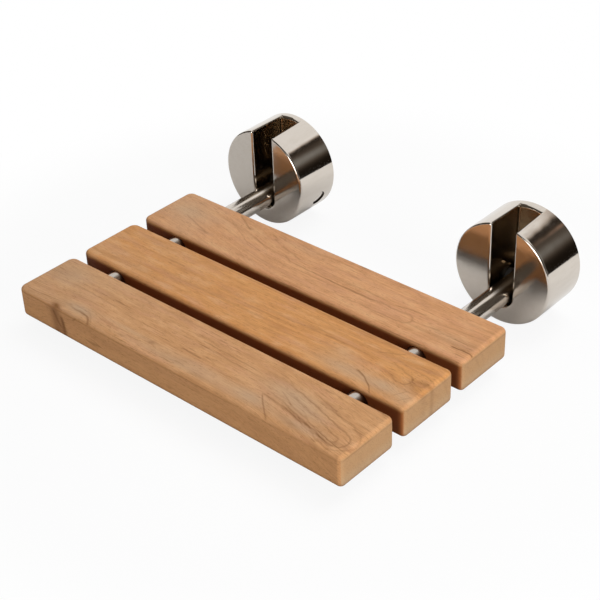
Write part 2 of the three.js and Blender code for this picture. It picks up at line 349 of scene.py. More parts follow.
def make_rod(hand):
    low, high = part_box(f"rod_{hand}")
    pivot = pivot_of(hand)
    radius = half_size(f"rod_{hand}", "x")
    axis_place = (pivot.x, 0, pivot.z)
    rod = bar("y", axis_place, radius, low[1], pivot.y, SMOOTH_SIDES, ROD_CHAMFER)
    rear = bar("y", axis_place, radius, pivot.y - ROD_EYE_HALF, high[1], SMOOTH_SIDES)
    keep(rear, bar("x", (0, pivot.y, pivot.z), radius, pivot.x - FAR, pivot.x + FAR, SMOOTH_SIDES))
    join(rod, rear)
    bush_hole = PIN_RADIUS + 2 * RUN_GAP + BUSH_WALL
    cutters = [bar("x", (0, pivot.y, pivot.z), bush_hole, pivot.x - FAR, pivot.x + FAR)]
    for side in (-1, 1):
        inner, outer = sorted((pivot.x + side * ROD_EYE_HALF, pivot.x + side * FAR))
        cutters.append(block((inner, pivot.y - ROD_EYE_REACH, -FAR), (outer, FAR, FAR)))
    for row in ROWS:
        screw = middle_of(f"slat_screw_{row}_{hand}")
        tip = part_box(f"slat_screw_{row}_{hand}")[1][2]
        cutters.append(bar("z", (screw.x, screw.y, 0), SLAT_SCREW_SHANK + FIT_GAP, -FAR, tip + FIT_GAP))
    cut(rod, *cutters)
    shade(rod)
    return rod


# The pivots

def pivot_profile(points, side):
    """A profile of radius and distance, turned round to one side of the rod's eye."""
    return [(radius, side * distance) for radius, distance in points]


def make_bush(hand, place):
    node = f"pivot_bush_{hand}_{place}"
    start, end = reach_from_pivot(node, hand)
    side = 1 if end > -start else -1
    split, tip = sorted((abs(start), abs(end)))
    bore = PIN_RADIUS + RUN_GAP
    wall = bore + BUSH_WALL
    flange_radius = half_size(node, "z")
    flange = ROD_EYE_HALF + RUN_GAP
    points = [(bore, split), (wall, split), (wall, flange)]
    points += [(flange_radius, flange), (flange_radius, tip), (bore, tip)]
    profile = softened(points + points[:2], FINE_EDGE)[1:-1]
    bush = turned("x", pivot_of(hand), pivot_profile(profile, side), even_turn(SMALL_SIDES), closed=True)
    shade(bush)
    return bush


def make_pin(hand):
    """A pin whose head ends in the cover's own curve, just inside its hole."""
    side = HANDS[hand]
    start, end = reach_from_pivot(f"pivot_pin_{hand}", hand)
    tip = max(-side * start, -side * end)
    head_radius = half_size(f"pivot_pin_{hand}", "z")
    head_start = reach_yoke(hand) + FIT_GAP
    curve = half_size(f"bracket_cover_{hand}", "z") - PIN_HEAD_SINK
    centre = middle_of(f"bracket_cover_{hand}")
    points = [(0, -tip), (PIN_RADIUS, -tip), (PIN_RADIUS, head_start), (head_radius, head_start)]
    points += [(head_radius, 2 * curve), (0, 2 * curve)]
    profile = softened(points, FINE_EDGE)
    pin = turned("x", pivot_of(hand), pivot_profile(profile, side), even_turn(SMOOTH_SIDES))
    keep(pin, bar("y", (centre.x, 0, centre.z), curve, -FAR, FAR, 2 * SMOOTH_SIDES))

    def share(place):
        """1 on the edge of the head's end."""
        return 1 if side * (place.x - centre.x) > head_start + MM else 0

    round_edges(pin, FINE_EDGE, FINE_EDGE_STEPS, share)
    shade(pin)
    return pin


def make_washer(hand):
    node = f"pivot_washer_{hand}"
    start, end = reach_from_pivot(node, hand)
    outside = half_size(node, "z")
    bore = PIN_RADIUS + FIT_GAP
    points = [(bore, start), (outside, start), (outside, end), (bore, end)]
    profile = softened(points + points[:2], RUN_GAP)[1:-1]
    washer = turned("x", pivot_of(hand), profile, even_turn(SMALL_SIDES), closed=True)
    shade(washer)
    return washer


def make_nut(hand):
    node = f"pivot_nut_{hand}"
    start, end = reach_from_pivot(node, hand)
    corners = half_size(node, "z")
    pivot = pivot_of(hand)
    nut = bar("x", pivot, corners, start, end, HEX_SIDES)
    slope = corners * (1 - math.cos(math.pi / HEX_SIDES))
    points = [(0, start), (corners - slope, start), (corners, start + slope / 2)]
    points += [(corners, end - slope / 2), (corners - slope, end), (0, end)]
    keep(nut, turned("x", pivot, points, even_turn(SMALL_SIDES)))
    cut(nut, bar("x", pivot, PIN_RADIUS + RUN_GAP, -FAR, FAR))
    shade(nut, angle=25)
    return nut


# The brackets

def slot_outline(pivot, top):
    """An upright slot, open at the top and round about the pivot at the bottom."""
    x, z = pivot.x, pivot.z
    return [(x + SLOT_HALF, top), (x - SLOT_HALF, top)] + arc(x, z, SLOT_HALF, 180, 360, SLOT_ARC_STEPS)


def make_cover(hand):
    """A cover whose sides are divided where the slot's straight sides meet them."""
    node = f"bracket_cover_{hand}"
    middle = middle_of(node)
    radius = half_size(node, "z")
    depth = -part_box(node)[0][1]
    pivot = pivot_of(hand)
    slot_angle = math.asin(SLOT_HALF / radius)
    rest = 2 * math.pi - 2 * slot_angle
    angles = [slot_angle * (2 * i / COVER_SLOT_STEPS - 1) for i in range(COVER_SLOT_STEPS)]
    angles += [slot_angle + rest * i / COVER_REST_STEPS for i in range(COVER_REST_STEPS)]
    inside = radius - COVER_WALL
    points = [(0, -depth), (radius, -depth), (radius, 0), (inside, 0)]
    points += [(inside, COVER_WALL - depth), (0, COVER_WALL - depth)]
    cover = turned("y", (middle.x, 0, middle.z), points, angles)
    cut(cover, prism(slot_outline(pivot, FAR), -SLOT_BACK, -FAR))

    def share(place):
        """How round an edge is, as a share of the slot's edges in the round side."""
        out = math.hypot(place.x - middle.x, place.z - middle.z)
        on_side = abs(out - radius) < FIT_GAP
        if place.y < FIT_GAP - depth:
            return (COVER_RIM if on_side else SLOT_FACE_EDGE) / SLOT_SIDE_EDGE
        if abs(place.y) < FIT_GAP:
            return FINE_EDGE / SLOT_SIDE_EDGE if on_side else 0
        return 1 if on_side else 0

    round_edges(cover, SLOT_SIDE_EDGE, SLOT_EDGE_STEPS, share)
    side = HANDS[hand]
    start, end = sorted((side * SLOT_HALF, side * FAR))
    hole_radius = pin_hole_radius(hand)
    cut(cover, bar("x", pivot, hole_radius, start, end, HOLE_SIDES))

    def hole_share(place):
        """1 on the outer edge of the pin's hole."""
        from_axis = math.hypot(place.y - pivot.y, place.z - pivot.z)
        outside = math.hypot(place.x - middle.x, place.z - middle.z) > radius - FIT_GAP
        return 1 if outside and abs(from_axis - hole_radius) < RUN_GAP else 0

    round_edges(cover, FINE_EDGE, FINE_EDGE_STEPS, hole_share)
    shade(cover)
    return cover


def pin_hole_radius(hand):
    return half_size(f"pivot_pin_{hand}", "z") + PIN_HOLE_GAP


def yoke_screw_places(hand):
    return [middle_of(f"yoke_screw_{hand}_{i}") for i in range(1, 5)]


def make_plate(hand):
    node = f"wall_plate_{hand}"
    low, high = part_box(node)
    middle = middle_of(node)
    radius = half_size(node, "z")
    plate = bar("y", (middle.x, 0, middle.z), radius, low[1], high[1], SMOOTH_SIDES, FINE_EDGE)
    cutters = []
    for angle in PLATE_HOLE_ANGLES:
        out = radius - PLATE_HOLE_INSET
        x = middle.x + out * math.cos(math.radians(angle))
        z = middle.z + out * math.sin(math.radians(angle))
        cutters.append(bar("y", (x, 0, z), PLATE_HOLE, -FAR, FAR))
    wide = half_size(f"yoke_screw_{hand}_1", "x") + FIT_GAP
    narrow = YOKE_SCREW_SHANK + FIT_GAP
    points = [(0, -FAR), (narrow, -FAR), (narrow, -YOKE_SCREW_HEAD - FIT_GAP), (wide, -FIT_GAP)]
    points += [(wide, FAR), (0, FAR)]
    for place in yoke_screw_places(hand):
        cutters.append(turned("y", (place.x, 0, place.z), points, even_turn(SMALL_SIDES)))
    cut(plate, *cutters)
    shade(plate, angle=30)
    return plate


def make_yoke(hand):
    side = HANDS[hand]
    low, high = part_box(f"hinge_yoke_{hand}")
    pivot = pivot_of(hand)
    plate = f"wall_plate_{hand}"
    radius = half_size(plate, "z")
    half = SLOT_HALF + YOKE_CHEEK
    top = math.degrees(math.acos(half / radius))
    outline = [(pivot.x - half, low[2]), (pivot.x + half, low[2])]
    outline += arc(pivot.x, middle_of(plate).z, radius, top, 180 - top, YOKE_ARC_STEPS)
    yoke = prism(outline, low[1], high[1])
    boss_start, boss_end = sorted((side * (half - YOKE_CHEEK / 2), side * reach_yoke(hand)))
    join(yoke, bar("x", pivot, BOSS_RADIUS, boss_start, boss_end))
    web = high[1] - YOKE_WEB
    floor = low[2] + YOKE_FLOOR
    cavity = block((pivot.x - SLOT_HALF, -FAR, floor), (pivot.x + SLOT_HALF, web, FAR))

    def share(place):
        """1 on the cavity's edges at its web and its floor."""
        return 1 if place.y > web - FIT_GAP or place.z < floor + FIT_GAP else 0

    round_edges(cavity, SLOT_CORNER, SLOT_CORNER_STEPS, share)
    cutters = [cavity, bar("x", pivot, PIN_RADIUS + RUN_GAP, -FAR, FAR)]
    for number, place in enumerate(yoke_screw_places(hand), 1):
        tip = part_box(f"yoke_screw_{hand}_{number}")[0][1]
        cutters.append(bar("y", (place.x, 0, place.z), YOKE_SCREW_SHANK + FIT_GAP, tip - FIT_GAP, FAR))
    cut(yoke, *cutters)
    shade(yoke, angle=30)
    return yoke


def reach_yoke(hand):
    """How far the yoke and its boss reach along the pivot's axis."""
    start, end = reach_from_pivot(f"hinge_yoke_{hand}", hand)
    return max(-start, end)


def make_yoke_screw(hand, number):
    node = f"yoke_screw_{hand}_{number}"
    low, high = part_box(node)
    middle = middle_of(node)
    wide = half_size(node, "x")
    points = [(0, low[1]), (YOKE_SCREW_SHANK, low[1]), (YOKE_SCREW_SHANK, high[1] - YOKE_SCREW_HEAD)]
    points += [(wide, high[1]), (0, high[1])]
    centre = (middle.x, 0, middle.z)
    screw = turned("y", centre, points, even_turn(SMALL_SIDES))
    cut(screw, bar("y", centre, YOKE_SCREW_DRIVE, high[1] - YOKE_SCREW_DRIVE, FAR, HEX_SIDES))
    shade(screw, angle=30)
    return screw


# Shader maths

class Value:
    """An output of a node. Sums and products of values add Math nodes."""

    def __init__(self, shader, socket):
        self.shader = shader
        self.socket = socket

    def __add__(self, other):
        return self.shader.maths("ADD", self, other)

    def __sub__(self, other):
        return self.shader.maths("SUBTRACT", self, other)

    def __rsub__(self, other):
        return self.shader.maths("SUBTRACT", other, self)

    def __mul__(self, other):
        return self.shader.maths("MULTIPLY", self, other)

    def __truediv__(self, other):
        return self.shader.maths("DIVIDE", self, other)

    def __pow__(self, other):
        return self.shader.maths("POWER", self, other)

    __radd__ = __add__
    __rmul__ = __mul__


class Shader:
    """Builds the nodes of one material or of the world."""

    def __init__(self, owner):
        owner.use_nodes = True
        self.tree = owner.node_tree
        self.tree.nodes.clear()

    def node(self, kind, settings=None, inputs=None):
        """Adds a node, with its settings first and then its sockets."""
        node = self.tree.nodes.new(kind)
        for name, value in (settings or {}).items():
            setattr(node, name, value)
        for name, value in (inputs or {}).items():
            self.feed(node.inputs[name], value)
        return node

    def feed(self, socket, value):
        """Links or sets a socket. A colour of three numbers gets its fourth."""
        if isinstance(value, Value):
            self.tree.links.new(value.socket, socket)
        elif isinstance(value, (tuple, list)) and len(value) < len(socket.default_value):
            socket.default_value = (*value, 1)
        else:
            socket.default_value = value

    def value(self, kind, output, settings=None, inputs=None):
        return Value(self, self.node(kind, settings, inputs).outputs[output])

    def maths(self, operation, *values):
        inputs = dict(enumerate(values))
        return self.value("ShaderNodeMath", 0, {"operation": operation}, inputs)

    def smooth(self, value, start, end):
        """0 before start, 1 after end and smooth between; start may be the larger."""
        low, high, first, last = (start, end, 0, 1) if start < end else (end, start, 1, 0)
        inputs = {"Value": value, "From Min": low, "From Max": high, "To Min": first, "To Max": last}
        return self.value("ShaderNodeMapRange", "Result", {"interpolation_type": "SMOOTHSTEP"}, inputs)

    def hill(self, value, middle, width):
        """1 at middle, falling off on both sides."""
        offset = (value - middle) / width
        return self.maths("EXPONENT", offset * offset * -1)

    def vector(self, x, y, z):
        return self.value("ShaderNodeCombineXYZ", 0, None, {"X": x, "Y": y, "Z": z})

    def noise(self, vector, scale=1, detail=3, roughness=0.5):
        inputs = {"Vector": vector, "Scale": scale, "Detail": detail, "Roughness": roughness}
        return self.value("ShaderNodeTexNoise", 0, None, inputs)

    def blend(self, share, first, second):
        """A colour from first to second, by share."""
        return self.value("ShaderNodeMix", 2, {"data_type": "RGBA"}, {0: share, 6: first, 7: second})

    def bump(self, height, strength, distance):
        inputs = {"Height": height, "Strength": strength, "Distance": distance}
        return self.value("ShaderNodeBump", 0, None, inputs)

    def coordinates(self, centre=(0, 0, 0)):
        """The object's own X, Y and Z in millimetres from a centre."""
        place = self.value("ShaderNodeTexCoord", "Object")
        settings = {"operation": "SUBTRACT"}
        offset = self.value("ShaderNodeVectorMath", 0, settings, {0: place, 1: tuple(centre)})
        scaled = self.value("ShaderNodeVectorMath", 0, {"operation": "SCALE"}, {0: offset, "Scale": 1 / MM})
        node = self.node("ShaderNodeSeparateXYZ", None, {"Vector": scaled})
        return [Value(self, output) for output in node.outputs]

    def finish(self, kind, inputs):
        """Ends in a surface, or in the world's background."""
        output = "ShaderNodeOutputWorld" if kind == "ShaderNodeBackground" else "ShaderNodeOutputMaterial"
        self.node(output, None, {"Surface": self.value(kind, 0, None, inputs)})


def new_material(name):
    material = bpy.data.materials.new(name)
    return material, Shader(material)


# Teak

TEAK_PINK = (0.570, 0.285, 0.165)
# grey of weathered and pale patches on the top, which also serves as a painted sheen towards the left end
TEAK_GREY_AND_SHEEN = (0.515, 0.345, 0.212)
TEAK_SIDE = (0.555, 0.275, 0.112)
# painted shade: the dark red-brown of the slat faces that look into the gaps between slats
TEAK_GAP_SHADE = (0.315, 0.100, 0.028)
TEAK_END = (0.530, 0.320, 0.162)
TEAK_WORN_END = (0.560, 0.400, 0.255)
TEAK_LINE = (0.200, 0.080, 0.024)
TEAK_BLOND = (0.690, 0.390, 0.192)

# How each slat's grain and wear run, in millimetres from its middle, with +X and +Y as in the frame.
# seed, slope: where in the noise the grain is taken from, and how far it drifts across along the slat
# grey_and_sheen, lines: how grey the left end is, partly weathering and partly painted sheen, and how dark the
# growth rings' lines are
# deep, light: the grain's two tones
# swerves: from and to along the slat, and the grain's shift across between them
# knots: along, across, length, width, and how far the grain spreads there
# pale, warm and dark clouds: along, across, length, width, strength
# noses, lines on the top that turn round the end of a stretch: its start along and across, its end along
#   and across, the lines' distance from it, width, strength
# marks, thin dark lines on the top: start and end as (along, across), bend across, width, strength
# cracks, dark lines down the front: start and end as (height, along), bend along, width, strength
SLATS = {
    "front": {
        "seed": 3.1, "slope": 0.010, "grey_and_sheen": 0.34, "lines": 0.45,
        "deep": (0.520, 0.258, 0.108), "light": (0.610, 0.328, 0.146),
        "swerves": [(70, 215, 20), (-190, -150, -3)],
        "knots": [(-121, -40, 26, 22, -0.5), (205, -20, 50, 30, -0.25)],
        "pale": [(118, 3, 34, 10, 1.0), (140, -8, 26, 7, 0.7), (90, -21, 20, 8, 0.9),
                 (-122, -24, 18, 6, 1.0), (150, -24, 30, 6, 0.8), (10, -26, 60, 5, 0.7),
                 (30, -18, 45, 5, 0.55), (-62, -18, 36, 3, 0.5), (-178, 8, 26, 14, 0.6)],
        "warm": [(-30, 24, 150, 6, 0.5), (20, -3, 60, 5, 0.5), (168, 20, 26, 7, 0.5),
                 (-120, 24, 26, 4, 0.5)],
        "dark": [(-148, -33, 6, 4, 0.8), (-33, -19, 4.5, 2.4, 0.5), (-63, -28, 4, 1.6, 0.4),
                 (-186, 10, 16, 10, 0.22), (184, -23, 4, 2, 0.55), (141, -26, 5, 1.6, 0.3),
                 (137, 26, 6, 1.1, 0.55), (146, 11, 8, 1.5, 0.35), (66, -10, 8, 1.4, 0.3)],
        "noses": [(110, 0, 180, -19, 4.0, 1.1, 0.34), (110, 2, 184, -17, 9.5, 1.0, 0.50),
                  (120, 4, 184, -15, 16, 0.8, 0.30),
                  (-136, -36, -112, -38, 11, 1.3, 0.75), (-140, -38, -116, -40, 18, 0.9, 0.25)],
        "marks": [((88, -10), (188, -30), 3.2, 1.5, 0.50), ((93, -10), (121, -35), -1.0, 1.0, 0.60),
                  ((-150, -31), (-136, -36), 0, 1.6, 0.60), ((-5, 12), (78, 9), 0.5, 0.8, 0.40),
                  ((-5, 7), (86, 4), 0, 0.7, 0.30), ((-156, 2), (-90, 0), 0, 0.9, 0.22),
                  ((150, 9), (198, 0), 1.0, 0.7, 0.28), ((104, 2), (126, -9), 1.0, 0.7, 0.30),
                  ((-102, -22), (-58, -21), -1, 1.0, 0.25)],
        "cracks": [((8, -140), (-16, -137), 1.0, 2.6, 0.95), ((14, -152), (-16, -142), 1.5, 8.0, 0.42),
                   ((12, -150), (-6, -141), -1.0, 1.6, 0.55), ((9, -124), (14, -118), 0, 1.6, 0.45)],
    },
    "middle": {
        "seed": 11.7, "slope": -0.006, "grey_and_sheen": 0.22, "lines": 0.16,
        "deep": (0.575, 0.258, 0.086), "light": (0.655, 0.320, 0.112),
        "swerves": [(120, 230, 8)],
        "knots": [(192, -2, 42, 30, -0.7), (96, 20, 40, 20, 0.2)],
        "pale": [(128, -22, 36, 9, 0.9), (112, -6, 18, 8, 0.5), (170, -20, 18, 9, 0.8), (192, -24, 10, 9, 0.6)],
        "warm": [(156, 12, 20, 9, 0.9), (-40, 10, 120, 16, 0.4), (197, 8, 6, 4, 0.5)],
        "dark": [(185, -2, 7, 5, 0.50), (196, 3, 6, 2.4, 0.60), (190, -9, 9, 4, 0.35), (95, 1, 2, 1, 0.4),
                 (64, 6, 6, 2, 0.2), (-116, 8, 9, 2, 0.15)],
        "noses": [(150, 6, 176, -2, 6.5, 1.2, 0.40), (150, 4, 190, -2, 13, 1.0, 0.25),
                  (186, -1, 192, 0, 3.0, 1.6, 0.45)],
        "marks": [((133, -16), (165, -36), 3.5, 0.9, 0.75), ((131, 13), (157, 27), 0.5, 0.9, 0.35),
                  ((181, -26), (188, -14), 0, 1.0, 0.35), ((188, -30), (196, -18), 0, 0.8, 0.35),
                  ((60, 11), (112, 4), 0, 0.8, 0.20), ((-122, 3), (-84, 0), 0, 0.9, 0.20)],
        "cracks": [],
    },
    "rear": {
        "seed": 23.9, "slope": 0.012, "grey_and_sheen": 0.34, "lines": 0.40,
        "deep": (0.565, 0.276, 0.120), "light": (0.670, 0.345, 0.164),
        "swerves": [(-203, 0, 26)],
        "knots": [(-60, 14, 34, 20, -0.15)],
        "pale": [(-168, 4, 34, 14, 0.6), (-30, 20, 26, 5, 0.3), (175, -12, 24, 9, 0.35)],
        "warm": [(-60, -12, 70, 10, 0.5), (80, 16, 70, 8, 0.5), (30, -14, 60, 5, 0.4)],
        "dark": [(38, 33, 6, 3.5, 0.95), (-63, 17, 3, 2.2, 0.45), (26, -6, 5, 0.9, 0.45),
                 (150, -8.5, 6, 1, 0.40), (-98, 17, 4, 1.8, 0.35), (-133, -16, 8, 1.2, 0.35),
                 (127, -23, 10, 0.8, 0.3), (44, 0, 8, 1, 0.3)],
        "noses": [(40, -13, 120, -12, 7, 1.0, 0.35)],
        "marks": [((-125, 31), (-94, 14), -0.5, 1.1, 0.45), ((-52, 11), (-18, 3), 0.8, 0.9, 0.35),
                  ((-86, 9), (-56, -3), 0, 0.8, 0.30), ((-112, 11), (-78, -7), 0, 0.8, 0.22),
                  ((-172, -2), (-124, -18), 0, 0.9, 0.35), ((-38, 2), (-24, -6), 0, 0.9, 0.30),
                  ((-34, -4), (92, -7), -1, 0.8, 0.45), ((-24, -11), (42, -12), 0, 0.7, 0.28),
                  ((18, 2), (92, 1), 0, 0.7, 0.25), ((98, -1), (136, 4), 1.2, 0.9, 0.45),
                  ((148, 0), (201, 5), 0, 0.7, 0.28), ((0, 16), (52, 12), 0, 1.2, 0.22),
                  ((176, -20), (204, -20), 0, 0.9, 1.00), ((164, 8), (201, 13), 0, 0.7, 0.22)],
        "cracks": [],
    },
}


def make_teak(row):
    """Planed teak, with marks of its own on each slat, greyed a little towards its left end, partly by
    weathering and partly by a painted sheen.
    """
    slat = SLATS[row]
    node = f"slat_{row}"
    material, shader = new_material(f"teak {row}")
    x, y, z = shader.coordinates(middle_of(node))
    seed = slat["seed"] * 100
    low, high = (Vector(corner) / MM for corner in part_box(node))
    half = (high - low) / 2
    round_start = half.z - SLAT_EDGE / MM

    def clouds(kind):
        """Soft spots, added up."""
        total = 0
        for along, across, length, width, strength in slat[kind]:
            total = total + strength * shader.hill(x, along, length) * shader.hill(y, across, width)
        return total

    wobble = (shader.noise(shader.vector(x / 11 + seed, y / 20, z / 20), detail=2) - 0.5) * 2.4

    def drawn(kind, run, across, first=0, last=1):
        """Thin dark lines, each followed along run and as wide as it says across it."""
        total = 0
        for start, end, bend, width, strength in slat[kind]:
            share = (run - start[0]) / (end[0] - start[0])
            line = start[1] + share * (end[1] - start[1]) + 4 * bend * share * (1 - share)
            ends = shader.smooth(share, first, 0.15) * shader.smooth(share, last, 0.85)
            total = total + strength * shader.hill(across, line, width) * ends
        return total

    def noses():
        """Lines that turn round the end of a stretch of the top."""
        total = 0
        for start_x, start_y, end_x, end_y, reach, width, strength in slat["noses"]:
            run = Vector((end_x - start_x, end_y - start_y))
            along = ((x - start_x) * run.x + (y - start_y) * run.y) / run.length
            across = ((y - start_y) * run.x - (x - start_x) * run.y) / run.length
            beyond = shader.maths("MAXIMUM", along - run.length, 0)
            distance = shader.maths("SQRT", beyond * beyond + across * across)
            fade = shader.smooth(along, -20, 25)
            total = total + strength * fade * shader.hill(distance + 2.4 * wobble, reach, width)
        return total

    wander = shader.noise(shader.vector(x / 120 + seed, y / 30, z / 30), detail=2) - 0.5
    flow = y + x * slat["slope"] + wander * 3
    for start, end, shift in slat["swerves"]:
        flow = flow + shift * shader.smooth(x, start, end)
    for along, across, length, width, spread in slat["knots"]:
        flow = flow + spread * (y - across) * shader.hill(x, along, length) * shader.hill(y, across, width)
    flow = flow + 0.45 * z + seed

    streaks = shader.noise(shader.vector(x / 60, flow / 1.8, z / 12), detail=4, roughness=0.66)
    rings = shader.noise(shader.vector(x / 200, flow / 6.5, z / 40), detail=2, roughness=0.5)
    ridge = shader.maths("ABSOLUTE", shader.noise(shader.vector(x / 190, flow / 4.2, 0.0), detail=1) - 0.5)
    broken = shader.smooth(shader.noise(shader.vector(x / 18, flow / 2.2, z / 9), detail=2), 0.47, 0.62)
    lines = shader.smooth(ridge, 0.016, 0.002) * broken
    fibre = shader.noise(shader.vector(x / 7, flow / 0.9, z / 2), detail=3, roughness=0.65)
    hair = shader.noise(shader.vector(x / 20, flow / 0.42, z / 2), detail=3, roughness=0.7)
    pores = shader.smooth(shader.noise(shader.vector(x / 5, flow / 0.6, z / 1.2), detail=1), 0.62, 0.72)
    tones = shader.noise(shader.vector(x / 55 + seed, y / 24, z / 24), detail=3, roughness=0.55)
    blush = shader.noise(shader.vector(x / 40, y / 9 + seed, z / 9), detail=3)

    top = shader.smooth(z, round_start + 1.2, round_start + 3.0)
    outwards = shader.maths("ABSOLUTE", x)
    distance = outwards - shader.maths("ABSOLUTE", y)
    end_grain = shader.smooth(distance, half.x - half.y - 0.8, half.x - half.y + 0.8) * (1 - top)
    end_grain = end_grain * shader.smooth(outwards, half.x - 4, half.x - 2)
    # the top's grey towards the left end is partly weathered wood and partly a painted sheen of reflected light
    left = shader.smooth(x, 20, -210) * slat["grey_and_sheen"]
    grey = shader.maths("MINIMUM", left * shader.smooth(tones, 0.25, 0.65) + clouds("pale") * 0.75, 0.9)
    # painted shade on the faces that look into the gaps between slats, from just under the top's rounding down
    before = shader.smooth(y, -half.y + 2, -half.y + 0.3)
    behind = shader.smooth(y, half.y - 2, half.y - 0.3)
    gap_shade = (before if row != "front" else 0.0) + (behind if row != "rear" else 0.0)
    # painted shade: the sides darken along their lower edge, which faces away from the light
    low_edge_shade = shader.hill(z, -half.z + 2.5, 2.5)
    facing = shader.smooth(y, -half.y + 6, -half.y + 1)
    patches = shader.noise(shader.vector(x / 26 + seed, flow / 9, z / 20), detail=2)
    marks = drawn("marks", x, y + wobble) + noses()
    cracks = drawn("cracks", z, x + 1.5 * wobble, -0.05, 1.15)
    drawn_lines = shader.maths("MINIMUM", marks * top + cracks * (1 - top) * facing, 1)
    rim = shader.hill(z, round_start + 0.6, 0.9) * shader.smooth(tones, 0.30, 0.60)

    colour = shader.blend(shader.smooth(streaks, 0.32, 0.68), slat["deep"], slat["light"])
    for share, tone in (
        (shader.smooth(patches, 0.48, 0.70) * 0.50, TEAK_BLOND),
        (shader.smooth(patches, 0.50, 0.28) * 0.16, TEAK_LINE),
        (clouds("warm") * 0.5, slat["light"]),
        (shader.smooth(blush, 0.46, 0.68) * 0.30, TEAK_PINK),
        (grey * top, TEAK_GREY_AND_SHEEN),
        ((1 - top) * 0.72, TEAK_SIDE),
        (gap_shade * shader.smooth(z, round_start + 1.5, round_start - 2), TEAK_GAP_SHADE),
        (end_grain * 0.80, TEAK_END),
        (end_grain * 0.55 * shader.smooth(z, 2, -14), TEAK_WORN_END),
        (shader.smooth(rings, 0.50, 0.72) * (0.10 + 0.08 * top), TEAK_LINE),
        (shader.smooth(fibre, 0.44, 0.74) * 0.22, TEAK_LINE),
        (shader.smooth(hair, 0.46, 0.80) * 0.20, TEAK_LINE),
        (lines * slat["lines"] * (1 - end_grain), TEAK_LINE),
        ((1 - end_grain) * pores * 0.38, TEAK_LINE),
        (drawn_lines * (0.60 + 0.6 * fibre), TEAK_LINE),
        (low_edge_shade * 0.45, TEAK_LINE),
        (shader.maths("MINIMUM", clouds("dark"), 0.95) * (0.55 + 0.6 * hair), TEAK_LINE),
        (rim * 0.32, TEAK_LINE),
    ):
        colour = shader.blend(share, colour, tone)
    height = 0.5 * hair + 0.3 * fibre - 0.6 * pores - 0.5 * drawn_lines
    shader.finish("ShaderNodeBsdfPrincipled", {
        "Base Color": colour,
        "Roughness": 0.54 + 0.12 * hair + 0.08 * pores,
        "Normal": shader.bump(height, 0.30, 0.30 * MM),
        "IOR": 1.45,
        "Specular IOR Level": 0.30,
    })
    return material


# Metals and plastic

NICKEL_DEEP = (0.640, 0.578, 0.508)
NICKEL_LIGHT = (0.672, 0.612, 0.545)
# bare metal in a cover's pin hole, darkened much further as painted shade
NICKEL_BARE_AND_SHADE = (0.10, 0.085, 0.07)
# painted shade of the rods between the slats
ROD_GAP_SHADE = (0.330, 0.290, 0.255)
# painted dark reflection of the gaps, down the rods' sides between the slats
ROD_GAP_REFLECTION = (0.090, 0.050, 0.028)
CASTING_DEEP = (0.38, 0.31, 0.225)
CASTING_LIGHT = (0.47, 0.385, 0.28)
STEEL_DEEP = (0.56, 0.55, 0.53)
STEEL_LIGHT = (0.66, 0.65, 0.63)
STEEL_SPECK = (0.30, 0.28, 0.26)
NYLON_DEEP = (0.012, 0.012, 0.013)
NYLON_LIGHT = (0.024, 0.023, 0.022)


def make_nickel(name, roughness, hand=None, gap_shaded=False):
    """Polished warm nickel with faint wipe marks. A cover, given by its hand, has a satin front face and bare
    metal in its pin hole, darkened as painted shade. Gap-shaded rods get a painted shade and dark reflection
    between slats."""
    material, shader = new_material(name)
    x, y, z = shader.coordinates()
    waves = shader.noise(shader.vector(x, y, z), scale=0.045, detail=1)
    marks = shader.noise(shader.vector(x / 5, y / 22, z / 5), detail=4, roughness=0.65)
    scratches = shader.noise(shader.vector(x / 0.35, y / 7, z / 0.35), detail=2)
    gloss = roughness + 0.06 * shader.smooth(marks, 0.42, 0.80) + 0.02 * scratches
    colour = shader.blend(shader.smooth(marks, 0.3, 0.8), NICKEL_LIGHT, NICKEL_DEEP)
    if hand:
        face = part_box(f"bracket_cover_{hand}")[0][1] / MM
        gloss = gloss + 0.04 * shader.smooth(y, face + COVER_RIM / MM, face + FIT_GAP / MM)
        pivot = pivot_of(hand) / MM
        from_axis = ((y - pivot.y) * (y - pivot.y) + (z - pivot.z) * (z - pivot.z)) ** 0.5
        edge = pin_hole_radius(hand) / MM
        # the pin hole's wall: bare metal, darkened much further as painted shade
        bare_and_shade = shader.smooth(from_axis, edge + 0.12, edge + 0.04) * shader.smooth(y, pivot.y - 20, pivot.y - 15)
        bare_and_shade = bare_and_shade * shader.smooth((x - pivot.x) * HANDS[hand], 10, 15)
        colour = shader.blend(bare_and_shade, colour, NICKEL_BARE_AND_SHADE)
        gloss = gloss + 0.3 * bare_and_shade
    # painted shade between the slats, and a painted dark reflection of the gaps down the rods' sides there
    if gap_shaded:
        rod = middle_of("rod_left") / MM
        aside = shader.maths("ABSOLUTE", shader.maths("ABSOLUTE", x) - abs(rod.x))
        between = 0
        for front, behind in zip(ROWS, ROWS[1:]):
            start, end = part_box(f"slat_{front}")[1][1] / MM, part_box(f"slat_{behind}")[0][1] / MM
            between = between + shader.smooth(y, start - 1, start) * shader.smooth(y, end + 1, end)
        gap_reflection = between * shader.smooth(aside, 2.5, 6)
        colour = shader.blend(between * 0.45, colour, ROD_GAP_SHADE)
        colour = shader.blend(gap_reflection * 0.90, colour, ROD_GAP_REFLECTION)
        gloss = gloss + 0.12 * gap_reflection
    shader.finish("ShaderNodeBsdfPrincipled", {
        "Base Color": colour,
        "Metallic": 1.0,
        "Roughness": gloss,
        "Normal": shader.bump(waves + 0.002 * scratches, 0.12, 1.0 * MM),
    })
    return material


